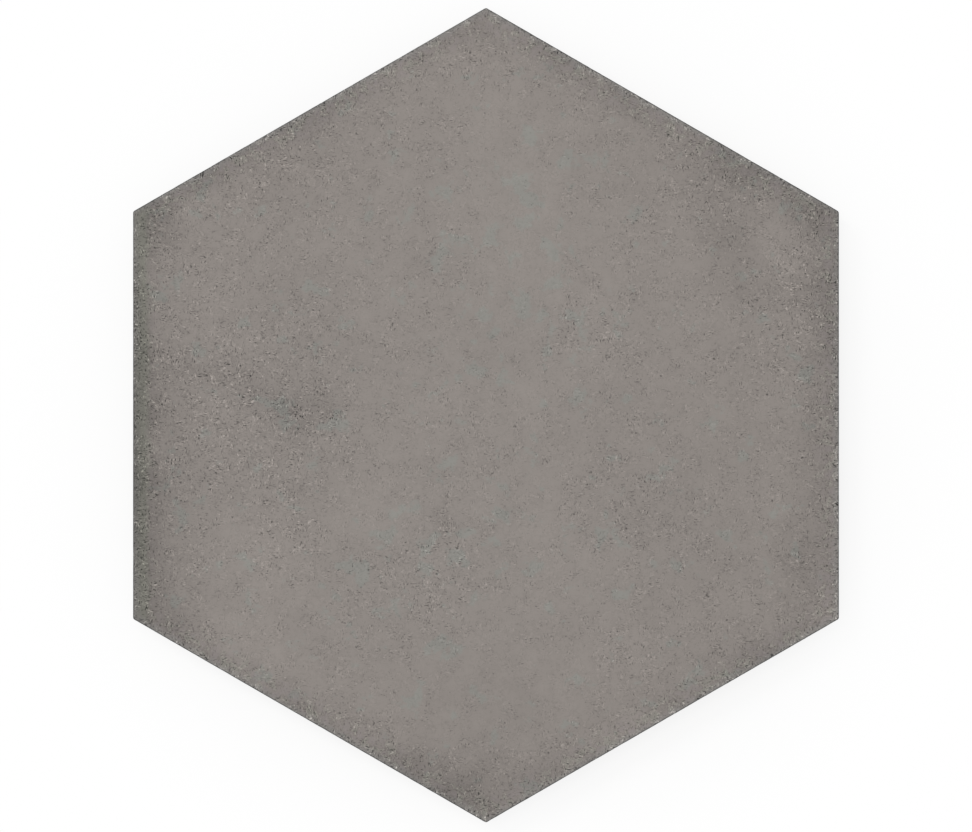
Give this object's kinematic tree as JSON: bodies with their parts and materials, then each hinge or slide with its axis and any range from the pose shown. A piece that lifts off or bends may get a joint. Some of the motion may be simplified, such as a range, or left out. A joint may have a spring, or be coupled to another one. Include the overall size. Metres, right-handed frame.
{
  "type": "hexagon floor tile",
  "caption": "Regular hexagonal porcelain floor tile with a flat matt cement-look face, softly rounded arris, drafted and bevelled edge, and a shallow honeycomb keying relief on its back.",
  "frame": {"origin": "on the bedding plane (the flat tops of the back ribs), under the middle of the tile", "axes": "+Z out of the walking face; +Y towards one of the six points; +X square to one of the six sides"},
  "size_m": [0.2, 0.2306, 0.009],
  "materials": {
    "porcelain": "matte"
  },
  "bodies": {
    "root": {"tile": "porcelain"}
  },
  "joints": []
}
